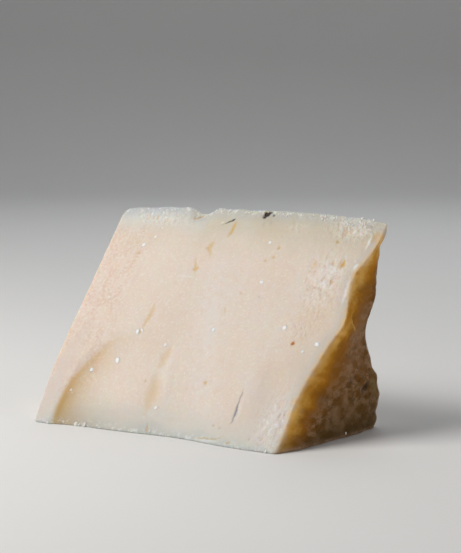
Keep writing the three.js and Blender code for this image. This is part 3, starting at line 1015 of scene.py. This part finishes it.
def rind_gilding(tree, wide, base):
    """Bands of amber, gold and honey along the front cut, laid over the brown."""
    edge = combine(tree, "ADD", "gold_in", wander(tree, wide, *RIND_WANDER))
    gilt = combine(tree, "SUBTRACT", edge, fading(tree, "ridge_in", *GOLD_WIDER))
    gilt = combine(tree, "ADD", gilt, fading(tree, "up", *GOLD_NARROWER))
    honey = combine(tree, "SUBTRACT", edge, fading(tree, "ridge_in", *HONEY_WIDER))
    base = mix(tree, fading(tree, gilt, *AMBER_BAND), base, RIND_AMBER)
    gold = mix(tree, speckle(tree, wide, *DAPPLES), RIND_GOLD, RIND_AMBER)
    base = mix(tree, fading(tree, gilt, *GOLD_BAND), base, gold)
    golden = larger(tree, fading(tree, honey, *HONEY_BAND), "honey")
    return mix(tree, golden, base, RIND_HONEY)


def rind_colour(tree, place):
    """Mottled brown, darkened towards the foot by painted shade and shadow, golden along the front cut,
    with bloom over it and a painted rim highlight along its back and foot edges.
    """
    wide = add_node(tree, "Mapping", {"Vector": place, "Scale": RIND_STRETCH}).outputs[0]
    uneven = speckle(tree, wide, *BLOOM_PATCHES)
    bloom = times(tree, "pale", uneven)
    base = mix(tree, bloom, rind_mottles(tree, wide), RIND_BLOOM_AND_RIM_LIGHT)
    # Painted shade, darker low down and away from the front cut
    inside = spread(tree, "gold_in", *LOW_PAINTED_SHADE_RISE)
    base = mix(tree, times(tree, fading(tree, "up", *LOW_PAINTED_SHADE), inside), base, RIND_DARK)
    base = rind_gilding(tree, wide, base)
    base = mix(tree, "dusk", base, RIND_AMBER)
    # Painted light on the lit edges of the rind's raised lumps
    base = mix(tree, times(tree, "cool", uneven), base, RIND_PAINTED_HIGHLIGHT)
    base = mix(tree, times(tree, bloom, BLOOM_OVER), base, RIND_BLOOM_AND_RIM_LIGHT)
    # Painted contact shadow along the foot
    base = mix(tree, fading(tree, "up", *FOOT_PAINTED_SHADOW), base, RIND_DARK)
    # Painted rim highlight along the rind's back and foot edges
    return mix(tree, fading(tree, "rim_in", *RIND_PAINTED_RIM_LIGHT), base, RIND_BLOOM_AND_RIM_LIGHT)


def rind_share(tree, place):
    """1 on the rind and 0 on the paste, with a ragged border; the tip of the ridge is paste too."""
    inward = combine(tree, "ADD", "rind_in", wander(tree, place, *BORDER_WANDER))
    inside = spread(tree, inward, *BORDER_RISE)
    return times(tree, inside, spread(tree, "ridge_in", *TIP_RISE))


def cheese_colour(tree, place, is_rind):
    """Paste and rind with the stains of the marks over them; the gold in the dimples and the dark in the
    rind's creases are painted shade.
    """
    base = mix(tree, is_rind, paste_colour(tree, place), rind_colour(tree, place))
    base = mix(tree, "gold", base, mix(tree, is_rind, GOLD_STAIN_AND_SHADE, RIND_GOLD))
    base = mix(tree, "red", base, STAIN_RED)
    base = mix(tree, "blue", base, VEIN_BLUE)
    # Dark: mould on the ridge, and painted shade in the rind's creases
    return mix(tree, "dark", base, MOULD_AND_SHADE_DARK)


def cheese_bump(tree, place, is_rind):
    """Fine grain and streaks on the paste, and leather on the rind."""
    fine = noise(tree, place, *FINE_BUMP)
    streaks = times(tree, noise(tree, slanted(tree, place, *BUMP_STRETCH), *STREAK_BUMP), STREAK_HEIGHT)
    leather = times(tree, noise(tree, place, *LEATHER_BUMP), LEATHER_HEIGHT)
    height = mix_number(tree, is_rind, combine(tree, "ADD", fine, streaks), leather)
    bump = {"Height": height, "Strength": 0.25, "Distance": 0.3 * MM}
    return add_node(tree, "Bump", bump).outputs[0]


def cheese_looks(tree, place):
    is_rind = rind_share(tree, place)
    return {
        "Base Color": cheese_colour(tree, place, is_rind),
        "Roughness": mix_number(tree, is_rind, speckle(tree, place, *PASTE_ROUGH), RIND_ROUGH),
        "Normal": cheese_bump(tree, place, is_rind),
        "Specular IOR Level": 0.22,
        "Subsurface Weight": mix_number(tree, is_rind, PASTE_SUBSURFACE, RIND_SUBSURFACE),
        "Subsurface Radius": (1, 0.55, 0.25),
        "Subsurface Scale": 3.5 * MM,
    }


def crystal_looks(tree, place):
    """White, and dull where the crystals are small."""
    clear = spread(tree, "radius", *CRYSTAL_RISE)
    white = mix(tree, noise(tree, place, *CRYSTAL_NOISE), CRYSTAL_WHITE, SCALE_WHITE)
    return {"Base Color": mix(tree, clear, CRYSTAL_DULL, white), "Roughness": 0.5}


def crumb_looks(tree, place):
    base = mix(tree, speckle(tree, place, *CRUMB_GRAINS), CRUMB_CREAM, SCALE_WHITE)
    return {"Base Color": base, "Roughness": 0.75}


# Small things that sit on the chunk

def lump_piece(name, lumps, flatness, stretch, seed):
    """Irregular lumps joined into one mesh, from (place, outward direction, radius) in metres."""
    draw = np.random.default_rng(seed)
    shape = bmesh.new()
    for place, outward, radius in lumps:
        made = bmesh.ops.create_icosphere(shape, subdivisions=2, radius=1)["verts"]
        ways = draw.normal(size=(LUMP_CUTS, 3))
        ways /= np.linalg.norm(ways, axis=1, keepdims=True)
        reach = draw.uniform(*CUT_DEPTH, LUMP_CUTS)
        seat = Vector(outward).to_track_quat("Z", "Y")
        squeeze = Vector((1, draw.uniform(1, stretch), flatness))
        for vertex in made:
            shadow = ways @ np.array(vertex.co)
            size = min(LUMP_REACH, (reach / np.maximum(shadow, LEAST_SHADOW)).min()) * radius
            vertex.co = seat @ (vertex.co * squeeze) * size + place
            vertex.co.z = max(vertex.co.z, 0)
    mesh = bpy.data.meshes.new(name)
    shape.to_mesh(mesh)
    shape.free()
    radii = [radius for _, _, radius in lumps]
    put_attribute(mesh, "radius", np.repeat(radii, len(mesh.vertices) // len(lumps)))
    return placed(name, mesh)


def lumps_on(surface, face, places):
    """Lumps at places of a face, as (across, up, radius), where level rays from outside meet the chunk."""
    axis, way = RAYS[face]
    run = Vector((0, 0, 0))
    run[axis] = way
    lumps = []
    for across, up, radius in places:
        start = Vector((across, across, up))
        start[axis] = -way * CAST_FROM
        point, outward = surface.ray_cast(CORNER + start * MM, run)[:2]
        if point is not None:
            lumps.append((point, outward, radius * MM))
    return lumps


def crystals(surface):
    """Crystals of the front, and others strewn over the back and the left end."""
    draw = np.random.default_rng(HIDDEN_CRYSTAL_SEED)
    lumps = lumps_on(surface, "front", FRONT_CRYSTALS)
    lumps += lumps_on(surface, "back", draw.uniform(*BACK_CRYSTALS))
    left = draw.uniform(*LEFT_CRYSTALS)
    left[:, 1] *= left[:, 0]
    lumps += lumps_on(surface, "left", left)
    return lump_piece("crystals", lumps, *CRYSTAL_SHAPE)


def ridge_crumbs():
    """Places of small crumbs strewn along the ridge, as (along, up, radius)."""
    draw = np.random.default_rng(RIDGE_CRUMB_SEED)
    places = []
    for low, high, count in RIDGE_CRUMBS:
        for along, up in draw.uniform(low, high, (count, 2)):
            places.append((along, up, draw.uniform(*CRUMB_RADIUS)))
    return places


def crumbs(surface):
    lumps = lumps_on(surface, "front", FRONT_CRUMBS + ridge_crumbs())
    lumps += lumps_on(surface, "rind", RIND_CRUMBS)
    return lump_piece("crumbs", lumps, *CRUMB_SHAPE)


# Stage, light and camera

def stage_looks(tree, place):
    base = mix(tree, noise(tree, place, *STAGE_NOISE), STAGE_PALE, STAGE_WHITE)
    return {"Base Color": base, "Roughness": 0.8}


def backdrop():
    """A pale floor that curves up into a wall behind the chunk, square to the camera."""
    profile = [(-STAGE_HALF, 0), (STAGE_BEHIND, 0)]
    for step in range(1, STAGE_STEPS + 1):
        turn = math.pi / 2 * step / STAGE_STEPS
        profile.append((STAGE_BEHIND + STAGE_BEND * math.sin(turn), STAGE_BEND * (1 - math.cos(turn))))
    profile.append((STAGE_BEHIND + STAGE_BEND, STAGE_HEIGHT))
    away = -camera_side()
    side = Vector((away.y, -away.x, 0)) * STAGE_HALF
    points = []
    for deep, up in profile:
        middle = away * deep + Vector((0, 0, up))
        points += [middle - side, middle + side]
    quads = [(2 * row, 2 * row + 1, 2 * row + 3, 2 * row + 2) for row in range(len(profile) - 1)]
    mesh = bpy.data.meshes.new("backdrop")
    mesh.from_pydata(points, [], quads)
    mesh.materials.append(new_material("stage", stage_looks))
    floor = placed("backdrop", mesh)


def camera_side():
    """The level direction from the chunk to the camera."""
    return Vector((math.sin(CAMERA_AZIMUTH), -math.cos(CAMERA_AZIMUTH), 0))


def lights():
    """Square lights that look at the origin."""
    near_way = camera_side()
    left_way = Vector((near_way.y, -near_way.x, 0))
    for name, ((left, near, up), size, power, tint) in LIGHTS.items():
        way = left_way * left + near_way * near + Vector((0, 0, up))
        lamp = bpy.data.lights.new(name, "AREA")
        lamp.size = size
        lamp.energy = power
        lamp.color = tint
        light = bpy.data.objects.new(name, lamp)
        light.location = way
        light.rotation_euler = (-way).to_track_quat("-Z", "Y").to_euler()
        bpy.context.scene.collection.objects.link(light)


def sky():
    world = bpy.data.worlds.new("world")
    world.use_nodes = True
    background = world.node_tree.nodes["Background"]
    background.inputs["Color"].default_value = (0.9, 0.93, 1, 1)
    background.inputs["Strength"].default_value = 0.15
    bpy.context.scene.world = world


def camera():
    lens = bpy.data.cameras.new("camera")
    lens.lens = CAMERA_LENS
    lens.sensor_width = CAMERA_SENSOR
    lens.clip_start = 0.01
    shot = bpy.data.objects.new("camera", lens)
    up = Vector((0, 0, math.sin(CAMERA_ELEVATION)))
    view = camera_side() * math.cos(CAMERA_ELEVATION) + up
    shot.location = CAMERA_AIM + view * CAMERA_DISTANCE
    shot.rotation_euler = (-view).to_track_quat("-Z", "Y").to_euler()
    bpy.context.scene.collection.objects.link(shot)
    bpy.context.scene.camera = shot


def dress(piece, material):
    """Gives a piece its material and ties it to the chunk's body."""
    piece.data.materials.append(material)
    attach(piece, "root")


camera()
lights()
sky()
backdrop()
bpy.context.scene.view_settings.view_transform = "Standard"

chunk = carved_chunk()
dress(chunk, new_material("cheese", cheese_looks))
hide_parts(NODE)
surface = BVHTree.FromObject(chunk, bpy.context.evaluated_depsgraph_get())
dress(crystals(surface), new_material("crystal", crystal_looks))
dress(crumbs(surface), new_material("crumb", crumb_looks))
